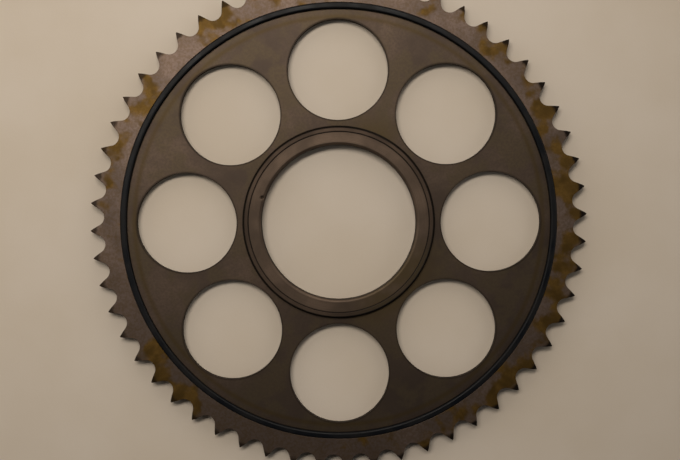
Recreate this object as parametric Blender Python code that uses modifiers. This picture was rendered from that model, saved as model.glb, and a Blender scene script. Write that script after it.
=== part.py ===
"""Motorcycle rear sprocket for a 5/8 in pitch roller chain, built as five concentric pieces.

Units are metres and +Z is up. The sprocket lies flat with its axis on Z. The origin is where the axis
meets the back face, which is the plane z = 0.

From the outside inwards the pieces are:
    toothed_ring   steel ring with 56 teeth, their tips relieved on both sides
    damper_ring    black elastomer ring that joins the toothed ring to the web
    web_disc       thinner steel disc with eight lightening holes
    hub_ring       narrow steel ring that stands proud of the web
    bore_bush      steel bush with a rounded mouth, whose bore fits over the wheel's carrier
"""

import math

import bmesh
import bpy
from mathutils import Vector

# --- Chain and teeth -------------------------------------------------------------------------------
CHAIN_PITCH = 0.015875
ROLLER_DIAMETER = 0.01016
TOOTH_COUNT = 56
TOOTH_WIDTH = 0.0059
SEAT_CLEARANCE = 0.0002
FLANK_ANGLE = math.radians(28.0)
TIP_RADIUS = 0.1446
FIRST_TOOTH_ANGLE = math.radians(2.0)
RELIEF_RADIUS = 0.1416
RELIEF_DEPTH = 0.0013

PITCH_ANGLE = 2.0 * math.pi / TOOTH_COUNT
PITCH_RADIUS = CHAIN_PITCH / (2.0 * math.sin(PITCH_ANGLE / 2.0))
ROLLER_SEAT_RADIUS = ROLLER_DIAMETER / 2.0 + SEAT_CLEARANCE

# --- Joints between the pieces -----------------------------------------------------------------------
JOINT_GAP = 0.0003

# --- Toothed ring and damper ring ----------------------------------------------------------------------
RIM_BORE_RADIUS = 0.1269
DAMPER_WIDTH = 0.0028
DAMPER_BOTTOM = 0.0002
DAMPER_SHOULDER = 0.0057
DAMPER_CROWN = 0.0005

DAMPER_OUTER_RADIUS = RIM_BORE_RADIUS - JOINT_GAP
DAMPER_INNER_RADIUS = DAMPER_OUTER_RADIUS - DAMPER_WIDTH

# --- Web disc ----------------------------------------------------------------------------------------
WEB_BOTTOM = 0.0008
WEB_TOP = 0.0042
WEB_OUTER_RADIUS = DAMPER_INNER_RADIUS - JOINT_GAP
WEB_EDGE_CHAMFER = 0.0003
HOLE_COUNT = 8
HOLE_RADIUS = 0.0291
HOLE_CIRCLE_RADIUS = 0.0886
FIRST_HOLE_ANGLE = math.radians(0.3)

# --- Hub ring and bore bush --------------------------------------------------------------------------
HUB_HEIGHT = 0.0070
HUB_OUTER_RADIUS = 0.0552
HUB_INNER_RADIUS = 0.0529
HUB_CHAMFER = 0.0003
BUSH_HEIGHT = 0.0068
BUSH_BORE_RADIUS = 0.0450
BUSH_MOUTH_RADIUS = 0.0016
BUSH_BACK_CHAMFER = 0.0005
BUSH_RIM_CHAMFER = 0.0003

WEB_BORE_RADIUS = HUB_OUTER_RADIUS + JOINT_GAP
BUSH_OUTER_RADIUS = HUB_INNER_RADIUS - JOINT_GAP

# --- Fineness of the faceted surfaces ------------------------------------------------------------------
SEAT_SEGMENTS = 8
RIM_BORE_SEGMENTS = 3 * TOOTH_COUNT
RING_SEGMENTS = 2 * TOOTH_COUNT
HOLE_SEGMENTS = 48
CROWN_SEGMENTS = 4
MOUTH_SEGMENTS = 4
CUTTER_MARGIN = 0.002
MERGE_DISTANCE = 0.00001
SMOOTH_ANGLE = math.radians(35.0)

COLLECTION_NAME = "rear_sprocket"
CUTTER_COLLECTION_NAME = "rear_sprocket_cutters"


# --- Scene set-up ---------------------------------------------------------------------------------------
def clear_scene():
    """Remove every object that the new file starts with."""
    for obj in list(bpy.data.objects):
        bpy.data.objects.remove(obj, do_unlink=True)


def new_collection(name):
    """Add a collection to the scene."""
    collection = bpy.data.collections.new(name)
    bpy.context.scene.collection.children.link(collection)
    return collection


def new_material(name, colour, roughness, metallic):
    """Make a Principled material with one colour, roughness and metallic value."""
    material = bpy.data.materials.new(name)
    material.use_nodes = True
    shader = material.node_tree.nodes["Principled BSDF"]
    shader.inputs["Base Color"].default_value = (*colour, 1.0)
    shader.inputs["Roughness"].default_value = roughness
    shader.inputs["Metallic"].default_value = metallic
    material.diffuse_color = (*colour, 1.0)
    return material


# --- Outlines and profiles --------------------------------------------------------------------------------
def on_circle(radius, angle):
    """Point in the XY plane at a radius and an angle about Z."""
    return Vector((radius * math.cos(angle), radius * math.sin(angle), 0.0))


def circle_outline(radius, count):
    """Points of a regular outline on a circle."""
    return [on_circle(radius, 2.0 * math.pi * step / count) for step in range(count)]


def arc(centre, radius, start, end, segments):
    """Points (x, z) along an arc in a turning profile, both ends included."""
    angles = [start + (end - start) * step / segments for step in range(segments + 1)]
    return [(centre[0] + radius * math.cos(a), centre[1] + radius * math.sin(a)) for a in angles]


def tooth_outline():
    """Outline of all the teeth: straight flanks that run into round roller seats.

    Each seat is an arc about the point where a chain roller sits on the pitch circle. It ends where the
    flanks of the teeth on its two sides touch it.
    """
    half_pitch = PITCH_ANGLE / 2.0
    seat_half_angle = math.pi / 2.0 - FLANK_ANGLE - half_pitch
    seat_centre_depth = PITCH_RADIUS * math.sin(half_pitch)
    reach = seat_centre_depth * math.cos(FLANK_ANGLE) - ROLLER_SEAT_RADIUS
    apex_radius = PITCH_RADIUS * math.cos(half_pitch) + reach / math.sin(FLANK_ANGLE)
    tip_half_width = (apex_radius - TIP_RADIUS) * math.tan(FLANK_ANGLE)
    points = []
    for tooth in range(TOOTH_COUNT):
        tooth_angle = FIRST_TOOTH_ANGLE + tooth * PITCH_ANGLE
        outward = on_circle(1.0, tooth_angle)
        sideways = on_circle(1.0, tooth_angle + math.pi / 2.0)
        points.append(outward * TIP_RADIUS - sideways * tip_half_width)
        points.append(outward * TIP_RADIUS + sideways * tip_half_width)
        seat_angle = tooth_angle + half_pitch
        seat_centre = on_circle(PITCH_RADIUS, seat_angle)
        for step in range(SEAT_SEGMENTS + 1):
            swing = seat_half_angle * (1.0 - 2.0 * step / SEAT_SEGMENTS)
            points.append(seat_centre + on_circle(ROLLER_SEAT_RADIUS, seat_angle + math.pi + swing))
    return points


# --- Solids -----------------------------------------------------------------------------------------------
def add_to(collection, obj, material):
    """Put an object in a collection, give it its material and shade its round faces smooth."""
    for old in list(obj.users_collection):
        old.objects.unlink(obj)
    collection.objects.link(obj)
    if material is not None:
        obj.data.materials.clear()
        obj.data.materials.append(material)
    obj.data.shade_smooth()
    obj.data.set_sharp_from_angle(angle=SMOOTH_ANGLE)
    return obj


def turned(name, profile, segments, collection, material=None):
    """Turn a closed (x, z) profile about Z. The profile runs down its outer side."""
    mesh = bpy.data.meshes.new(name)
    count = len(profile)
    edges = [(index, (index + 1) % count) for index in range(count)]
    mesh.from_pydata([(x, 0.0, z) for x, z in profile], edges, [])
    obj = bpy.data.objects.new(name, mesh)
    add_to(collection, obj, material)
    screw = obj.modifiers.new("turn", "SCREW")
    screw.axis = "Z"
    screw.angle = 2.0 * math.pi
    screw.steps = segments
    screw.render_steps = segments
    screw.use_merge_vertices = True
    screw.merge_threshold = MERGE_DISTANCE
    screw.use_smooth_shade = True
    return obj


def plate(name, outlines, bottom, top, collection, material=None):
    """Extrude flat outlines, the first one outside and the others holes, into a closed mesh."""
    curve = bpy.data.curves.new(name + "_outline", "CURVE")
    curve.dimensions = "2D"
    curve.fill_mode = "BOTH"
    curve.extrude = (top - bottom) / 2.0
    for outline in outlines:
        spline = curve.splines.new("POLY")
        spline.points.add(len(outline) - 1)
        for point, place in zip(spline.points, outline):
            point.co = (place.x, place.y, 0.0, 1.0)
        spline.use_cyclic_u = True
    guide = bpy.data.objects.new(name + "_outline", curve)
    guide.location.z = (top + bottom) / 2.0
    bpy.context.scene.collection.objects.link(guide)
    bpy.context.view_layer.update()

    evaluated = guide.evaluated_get(bpy.context.evaluated_depsgraph_get())
    mesh = bpy.data.meshes.new_from_object(evaluated)
    mesh.name = name
    welded = bmesh.new()
    welded.from_mesh(mesh)
    bmesh.ops.remove_doubles(welded, verts=welded.verts, dist=MERGE_DISTANCE)
    welded.to_mesh(mesh)
    welded.free()
    obj = bpy.data.objects.new(name, mesh)
    obj.matrix_world = guide.matrix_world.copy()
    bpy.data.objects.remove(guide, do_unlink=True)
    return add_to(collection, obj, material)


def cut(obj, cutter, operation):
    """Add a Boolean with one cutter, and keep the cutter out of the finished part."""
    boolean = obj.modifiers.new(operation.lower() + "_" + cutter.name, "BOOLEAN")
    boolean.operation = operation
    boolean.solver = "EXACT"
    boolean.object = cutter
    cutter.hide_render = True
    cutter.display_type = "WIRE"


# --- The five pieces --------------------------------------------------------------------------------------
def build_toothed_ring(collection, cutters, material):
    """Toothed plate, cut back at the tips by a blank with one sloping facet over each tooth."""
    ring = plate(
        "toothed_ring",
        [tooth_outline(), circle_outline(RIM_BORE_RADIUS, RIM_BORE_SEGMENTS)],
        0.0,
        TOOTH_WIDTH,
        collection,
        material,
    )
    facet_stretch = 1.0 / math.cos(PITCH_ANGLE / 2.0)
    slope = RELIEF_DEPTH / (TIP_RADIUS - RELIEF_RADIUS)
    start = (RELIEF_RADIUS - CUTTER_MARGIN / slope) * facet_stretch
    end = (TIP_RADIUS + CUTTER_MARGIN) * facet_stretch
    end_drop = slope * (TIP_RADIUS + CUTTER_MARGIN - RELIEF_RADIUS)
    inside = RIM_BORE_RADIUS - CUTTER_MARGIN
    profile = [
        (inside, TOOTH_WIDTH + CUTTER_MARGIN),
        (start, TOOTH_WIDTH + CUTTER_MARGIN),
        (end, TOOTH_WIDTH - end_drop),
        (end, end_drop),
        (start, -CUTTER_MARGIN),
        (inside, -CUTTER_MARGIN),
    ]
    blank = turned("tip_relief_blank", profile, TOOTH_COUNT, cutters)
    blank.rotation_euler.z = FIRST_TOOTH_ANGLE - PITCH_ANGLE / 2.0
    cut(ring, blank, "INTERSECT")
    return ring


def build_damper_ring(collection, material):
    """Ring of even width whose front edge is crowned."""
    centre = (DAMPER_OUTER_RADIUS + DAMPER_INNER_RADIUS) / 2.0
    half_width = DAMPER_WIDTH / 2.0
    crown_radius = (half_width**2 + DAMPER_CROWN**2) / (2.0 * DAMPER_CROWN)
    crown_half_angle = math.asin(half_width / crown_radius)
    crown_centre = (centre, DAMPER_SHOULDER + DAMPER_CROWN - crown_radius)
    crown = arc(
        crown_centre,
        crown_radius,
        math.pi / 2.0 + crown_half_angle,
        math.pi / 2.0 - crown_half_angle,
        CROWN_SEGMENTS,
    )
    back = [(DAMPER_OUTER_RADIUS, DAMPER_BOTTOM), (DAMPER_INNER_RADIUS, DAMPER_BOTTOM)]
    return turned("damper_ring", crown + back, RING_SEGMENTS, collection, material)


def build_web_disc(collection, cutters, material):
    """Thin turned disc with chamfered rims and a ring of lightening holes."""
    outer_chamfer = WEB_OUTER_RADIUS - WEB_EDGE_CHAMFER
    inner_chamfer = WEB_BORE_RADIUS + WEB_EDGE_CHAMFER
    profile = [
        (inner_chamfer, WEB_TOP),
        (outer_chamfer, WEB_TOP),
        (WEB_OUTER_RADIUS, WEB_TOP - WEB_EDGE_CHAMFER),
        (WEB_OUTER_RADIUS, WEB_BOTTOM),
        (WEB_BORE_RADIUS, WEB_BOTTOM),
        (WEB_BORE_RADIUS, WEB_TOP - WEB_EDGE_CHAMFER),
    ]
    disc = turned("web_disc", profile, RING_SEGMENTS, collection, material)
    for index in range(HOLE_COUNT):
        angle = FIRST_HOLE_ANGLE + 2.0 * math.pi * index / HOLE_COUNT
        place = on_circle(HOLE_CIRCLE_RADIUS, angle)
        bpy.ops.mesh.primitive_cylinder_add(
            vertices=HOLE_SEGMENTS,
            radius=HOLE_RADIUS,
            depth=WEB_TOP - WEB_BOTTOM + 2.0 * CUTTER_MARGIN,
            location=(place.x, place.y, (WEB_TOP + WEB_BOTTOM) / 2.0),
            rotation=(0.0, 0.0, angle),
        )
        drill = bpy.context.object
        drill.name = f"lightening_hole_{index + 1}"
        add_to(cutters, drill, None)
        cut(disc, drill, "DIFFERENCE")
    return disc


def build_hub_ring(collection, material):
    """Narrow ring with chamfered front edges, which stands proud of the web."""
    profile = [
        (HUB_INNER_RADIUS + HUB_CHAMFER, HUB_HEIGHT),
        (HUB_OUTER_RADIUS - HUB_CHAMFER, HUB_HEIGHT),
        (HUB_OUTER_RADIUS, HUB_HEIGHT - HUB_CHAMFER),
        (HUB_OUTER_RADIUS, 0.0),
        (HUB_INNER_RADIUS, 0.0),
        (HUB_INNER_RADIUS, HUB_HEIGHT - HUB_CHAMFER),
    ]
    return turned("hub_ring", profile, RING_SEGMENTS, collection, material)


def build_bore_bush(collection, material):
    """Bush with a rounded mouth in front and a small lead-in chamfer behind."""
    mouth = arc(
        (BUSH_BORE_RADIUS + BUSH_MOUTH_RADIUS, BUSH_HEIGHT - BUSH_MOUTH_RADIUS),
        BUSH_MOUTH_RADIUS,
        math.pi,
        math.pi / 2.0,
        MOUTH_SEGMENTS,
    )
    rest = [
        (BUSH_OUTER_RADIUS - BUSH_RIM_CHAMFER, BUSH_HEIGHT),
        (BUSH_OUTER_RADIUS, BUSH_HEIGHT - BUSH_RIM_CHAMFER),
        (BUSH_OUTER_RADIUS, 0.0),
        (BUSH_BORE_RADIUS + BUSH_BACK_CHAMFER, 0.0),
        (BUSH_BORE_RADIUS, BUSH_BACK_CHAMFER),
    ]
    return turned("bore_bush", mouth + rest, RING_SEGMENTS, collection, material)


def main():
    """Build the sprocket."""
    clear_scene()
    parts = new_collection(COLLECTION_NAME)
    cutters = new_collection(CUTTER_COLLECTION_NAME)

    rim_steel = new_material("rim_steel", (0.20, 0.16, 0.12), 0.45, 0.8)
    damper_rubber = new_material("damper_rubber", (0.012, 0.012, 0.014), 0.55, 0.0)
    web_steel = new_material("web_steel", (0.10, 0.08, 0.065), 0.42, 0.8)
    hub_steel = new_material("hub_steel", (0.12, 0.095, 0.075), 0.40, 0.8)
    bush_steel = new_material("bush_steel", (0.13, 0.105, 0.085), 0.38, 0.8)

    build_toothed_ring(parts, cutters, rim_steel)
    build_damper_ring(parts, damper_rubber)
    build_web_disc(parts, cutters, web_steel)
    build_hub_ring(parts, hub_steel)
    build_bore_bush(parts, bush_steel)


main()
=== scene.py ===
"""Fine surfaces and finishes of a motorcycle rear sprocket that lies flat on pale paper.

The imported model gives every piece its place. Each class here models one piece of the sprocket finely enough
for a close look, dresses it in its own finish, and lets it stand for the plain solid of the same name.
All lengths are in metres and +Z is up: the sprocket's axis is Z and its back face lies at z = 0.
"""

import logging
import math
from collections.abc import Callable
from dataclasses import dataclass
from enum import Enum
from functools import partial
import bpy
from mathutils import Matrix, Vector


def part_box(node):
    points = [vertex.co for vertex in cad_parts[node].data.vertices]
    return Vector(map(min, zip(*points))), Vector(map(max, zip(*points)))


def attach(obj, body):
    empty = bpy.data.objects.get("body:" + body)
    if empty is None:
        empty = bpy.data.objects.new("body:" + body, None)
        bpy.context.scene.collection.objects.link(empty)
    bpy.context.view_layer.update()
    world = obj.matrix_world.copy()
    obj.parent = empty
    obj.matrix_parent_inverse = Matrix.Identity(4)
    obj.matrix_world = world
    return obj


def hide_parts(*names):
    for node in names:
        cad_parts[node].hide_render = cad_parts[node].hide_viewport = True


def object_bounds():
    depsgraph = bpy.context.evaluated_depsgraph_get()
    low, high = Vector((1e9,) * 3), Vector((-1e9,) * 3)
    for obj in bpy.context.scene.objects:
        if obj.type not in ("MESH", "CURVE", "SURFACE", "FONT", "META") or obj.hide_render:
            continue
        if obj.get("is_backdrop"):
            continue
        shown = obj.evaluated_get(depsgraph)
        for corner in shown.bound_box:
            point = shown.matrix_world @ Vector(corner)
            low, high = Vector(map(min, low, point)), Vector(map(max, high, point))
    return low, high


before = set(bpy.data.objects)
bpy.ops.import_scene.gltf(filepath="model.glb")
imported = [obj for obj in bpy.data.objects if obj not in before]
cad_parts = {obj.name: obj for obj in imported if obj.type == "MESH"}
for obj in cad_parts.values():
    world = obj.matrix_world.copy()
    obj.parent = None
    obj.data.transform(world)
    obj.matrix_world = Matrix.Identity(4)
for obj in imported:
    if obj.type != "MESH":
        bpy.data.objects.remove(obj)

from inspect import signature

import bmesh
import bpy
from bmesh.types import BMesh, BMEdge, BMFace, BMVert
from bpy.types import Material, Node, NodeSocket, NodeTree, Object
from mathutils import Matrix, Vector

Colour = tuple[float, float, float]
Point = tuple[float, float, float]
Value = float | NodeSocket

LOG = logging.getLogger("sprocket")
MODEL_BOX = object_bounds()
BODY = "root"

AXIS = Vector((0.0, 0.0, 1.0))
ORIGIN = Vector((0.0, 0.0, 0.0))
FULL_TURN = 2.0 * math.pi
MERGE_DISTANCE = 1e-6
SAME_ANGLE = 1e-5
ROUND_PROFILE = 0.5
SHARP_ANGLE = math.radians(50.0)
STEEP_FOLD = math.radians(60.0)
TOOTH_FOLD = math.radians(28.0)

SKIN = 1e-6
"""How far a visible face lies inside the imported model's own face."""
JOINT_GAP = 0.0003
"""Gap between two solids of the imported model."""
TOUCH = 0.00002
"""Gap left between two neighbouring pieces."""


# --- Geometry helpers ---
def on_circle(radius: float, angle: float, height: float = 0.0) -> Vector:
    """Point at a radius and an angle about the sprocket's axis."""
    return Vector((radius * math.cos(angle), radius * math.sin(angle), height))


@dataclass(frozen=True)
class Reach:
    """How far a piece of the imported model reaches.

    Attributes:
        radius: Distance of its outer edge from the axis.
        bottom: Height of its back face.
        top: Height of its front face.
    """

    radius: float
    bottom: float
    top: float

    @classmethod
    def of(cls, node: str) -> "Reach":
        """Read the reach of a node from the frame."""
        low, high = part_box(node)
        return cls(radius=(high.x - low.x) / 2.0, bottom=low.z + SKIN, top=high.z - SKIN)


@dataclass(frozen=True)
class Corner:
    """One corner of a turning profile.

    Attributes:
        radius: Distance from the axis.
        height: Height above the back face.
        rounding: How far from the corner its rounding starts, 0 for a sharp corner.
    """

    radius: float
    height: float
    rounding: float = 0.0


def bevel(bm: BMesh, geom: list[BMVert | BMEdge], width: float, segments: int, affect: str) -> None:
    """Round corners or edges.

    Args:
        bm: The mesh to work on.
        geom: The corners or the edges.
        width: How far the rounding reaches.
        segments: Number of segments across the rounding.
        affect: VERTICES for corners, EDGES for edges.
    """
    bmesh.ops.bevel(
        bm,
        geom=geom,
        offset=width,
        offset_type="OFFSET",
        segments=segments,
        profile=ROUND_PROFILE,
        affect=affect,
        clamp_overlap=affect == "EDGES",
        material=-1,
    )


def turn(corners: list[Corner], steps: int, rounding_steps: int) -> BMesh:
    """Turn a closed profile about the sprocket's axis.

    Args:
        corners: The profile's corners in order.
        steps: Number of steps round the axis.
        rounding_steps: Number of segments on each rounded corner.

    Returns:
        A closed mesh whose faces point outwards.
    """
    bm = bmesh.new()
    verts = [bm.verts.new((corner.radius, 0.0, corner.height)) for corner in corners]
    bm.faces.new(verts)
    for vert, corner in zip(verts, corners):
        if corner.rounding > 0.0:
            bevel(bm, [vert], corner.rounding, rounding_steps, "VERTICES")
    bmesh.ops.delete(bm, geom=bm.faces[:], context="FACES_ONLY")
    bmesh.ops.spin(
        bm,
        geom=bm.verts[:] + bm.edges[:],
        cent=ORIGIN,
        axis=AXIS,
        angle=FULL_TURN,
        steps=steps,
        use_merge=True,
    )
    return tidy(bm)


def tidy(bm: BMesh) -> BMesh:
    """Merge doubled vertices and point every face outwards.

    Args:
        bm: The mesh to work on.

    Returns:
        The same mesh.
    """
    bmesh.ops.remove_doubles(bm, verts=bm.verts[:], dist=MERGE_DISTANCE)
    bmesh.ops.recalc_face_normals(bm, faces=bm.faces[:])
    return bm


def raise_faces(bm: BMesh, faces: list[BMFace], height: float) -> None:
    """Make flat faces into a solid of a height, with the faces as its back.

    Args:
        bm: The mesh to work on.
        faces: The flat faces.
        height: The solid's height.
    """
    raised = bmesh.ops.extrude_face_region(bm, geom=faces, use_keep_orig=True)
    verts = [item for item in raised["geom"] if isinstance(item, BMVert)]
    bmesh.ops.translate(bm, verts=verts, vec=(0.0, 0.0, height))


def fold(edge: BMEdge) -> float:
    """Angle between the two faces of an edge, 0 on an open edge."""
    return edge.calc_face_angle(0.0) if edge.is_manifold else 0.0


def round_edges(
    bm: BMesh,
    width: float,
    segments: int,
    steeper_than: float,
    wanted: Callable[[BMEdge], bool] | None = None,
) -> None:
    """Round the wanted edges that fold more steeply than an angle.

    Args:
        bm: The mesh to work on.
        width: How far the rounding reaches from each edge.
        segments: Number of segments across the rounding.
        steeper_than: Edges that fold less than this stay as they are.
        wanted: Says of an edge whether it may be rounded. Every edge may where it isn't given.
    """
    edges = [edge for edge in bm.edges if fold(edge) > steeper_than and (wanted is None or wanted(edge))]
    bevel(bm, edges, width, segments, "EDGES")


def add_object(name: str, data: bpy.types.ID) -> Object:
    """Put an object in the scene.

    Args:
        name: The object's name.
        data: What it shows.

    Returns:
        The new object.
    """
    made = bpy.data.objects.new(name, data)
    bpy.context.scene.collection.objects.link(made)
    return made


def add_mesh(name: str, bm: BMesh, material: Material) -> Object:
    """Put a finished mesh in the scene.

    Args:
        name: Name of the object and of its mesh.
        bm: The mesh, which is freed.
        material: Its material.

    Returns:
        The new object, at the origin.
    """
    mesh = bpy.data.meshes.new(name)
    bm.to_mesh(mesh)
    bm.free()
    mesh.materials.append(material)
    return add_object(name, mesh)


# --- Node graphs ---
class Socket(Enum):
    """Kinds of socket on a node group."""

    VALUE = "NodeSocketFloat"
    VECTOR = "NodeSocketVector"


class Graph:
    """A node tree with short calls for placing and joining its nodes."""

    def __init__(self, tree: NodeTree) -> None:
        """Work on an empty node tree."""
        self.tree = tree
        tree.nodes.clear()

    def node(self, kind: str, *inputs: object, **settings: object) -> Node:
        """Place a node.

        Args:
            kind: The node's type name without its ShaderNode prefix.
            inputs: What feeds its first inputs, in order.
            settings: Properties to set on it.

        Returns:
            The new node.
        """
        made = self.tree.nodes.new(kind if kind.startswith("Node") else "ShaderNode" + kind)
        for name, value in settings.items():
            setattr(made, name, value)
        for socket, value in zip(made.inputs, inputs):
            self.feed(socket, value)
        return made

    def feed(self, socket: NodeSocket, value: object) -> None:
        """Join a socket to an input, or set the input's own value.

        Args:
            socket: The input.
            value: A socket to join to it, or its own value.
        """
        if isinstance(value, NodeSocket):
            self.tree.links.new(value, socket)
        elif isinstance(value, tuple) and socket.type == "RGBA":
            socket.default_value = (*value, 1.0)
        else:
            socket.default_value = value

    def feed_all(self, node: Node, values: dict[str, object]) -> None:
        """Feed inputs of a node by their names."""
        for name, value in values.items():
            self.feed(node.inputs[name], value)

    def math(self, operation: str, *values: Value) -> NodeSocket:
        """Result of a Math node on one, two or three values."""
        return self.node("Math", *values, operation=operation).outputs[0]

    def times(self, first: Value, second: Value) -> NodeSocket:
        """Product of two numbers."""
        return self.math("MULTIPLY", first, second)

    def plus_times(self, total: Value, first: Value, second: Value) -> NodeSocket:
        """A number plus the product of two others."""
        return self.math("MULTIPLY_ADD", first, second, total)

    def largest(self, first: Value, *others: Value) -> NodeSocket:
        """Largest of a few numbers."""
        for other in others:
            first = self.math("MAXIMUM", first, other)
        return first

    def ramp(self, value: Value, start: Value, end: Value, low: Value = 0.0, high: Value = 1.0) -> NodeSocket:
        """Carry a value smoothly from low, at start, to high, at end.

        Args:
            value: The value.
            start: Value where the result is low.
            end: Value where the result is high.
            low: Result at the start.
            high: Result at the end.

        Returns:
            The result.
        """
        made = self.node("MapRange", interpolation_type="SMOOTHSTEP")
        limits = {"From Min": start, "From Max": end, "To Min": low, "To Max": high}
        self.feed_all(made, {"Value": value, **limits})
        return made.outputs[0]

    def blend(self, mask: Value, first: object, second: object) -> NodeSocket:
        """Colour that goes from the first to the second as the mask goes from 0 to 1.

        Args:
            mask: Where the second shows.
            first: What shows where the mask is 0.
            second: What shows where it is 1.

        Returns:
            The colour.
        """
        made = self.node("Mix", mask, data_type="RGBA", clamp_factor=True)
        self.feed(made.inputs[6], first)
        self.feed(made.inputs[7], second)
        return made.outputs[2]

    def level(self, mask: Value, first: Value, second: Value) -> NodeSocket:
        """Number that goes from the first to the second as the mask goes from 0 to 1.

        Args:
            mask: Where the second shows.
            first: What shows where the mask is 0.
            second: What shows where it is 1.

        Returns:
            The number.
        """
        made = self.node("Mix", mask, data_type="FLOAT", clamp_factor=True)
        self.feed(made.inputs[2], first)
        self.feed(made.inputs[3], second)
        return made.outputs[0]

    def noise(self, place: NodeSocket, scale: Value, detail: float, kind: str = "3D") -> NodeSocket:
        """Soft random values between 0 and 1 over a place, or along a line where the kind is 1D.

        Args:
            place: The place, or the distance along the line.
            scale: Number of clouds in a unit of it.
            detail: How ragged they are.
            kind: 3D or 1D.

        Returns:
            The random values.
        """
        made = self.node("TexNoise", noise_dimensions=kind)
        where = "W" if kind == "1D" else "Vector"
        self.feed_all(made, {where: place, "Scale": scale, "Detail": detail})
        return made.outputs[0]


# --- Effects shared by the finishes ---
class Effect(Enum):
    """Shared effects, by the name of their node group."""

    PLACE = "place_round_axis"
    MOTTLE = "steel_mottle"
    TURNING = "turning_marks"
    STREAKS = "radial_streaks"
    SECTOR = "sector_weight"
    LINE = "circle_line"
    TOOTH = "place_in_tooth"
    HOLE = "hole_edge_distance"
    WALLS = "steep_faces"


WHERE = {"place": Socket.VECTOR, "radius": Socket.VALUE, "angle": Socket.VALUE, "outward": Socket.VECTOR}
"""What tells a finish where on the sprocket it is, and the kind of socket that carries it."""


def label(name: str) -> str:
    """Name of a group's socket: Half Width for half_width."""
    return name.replace("_", " ").title()


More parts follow.
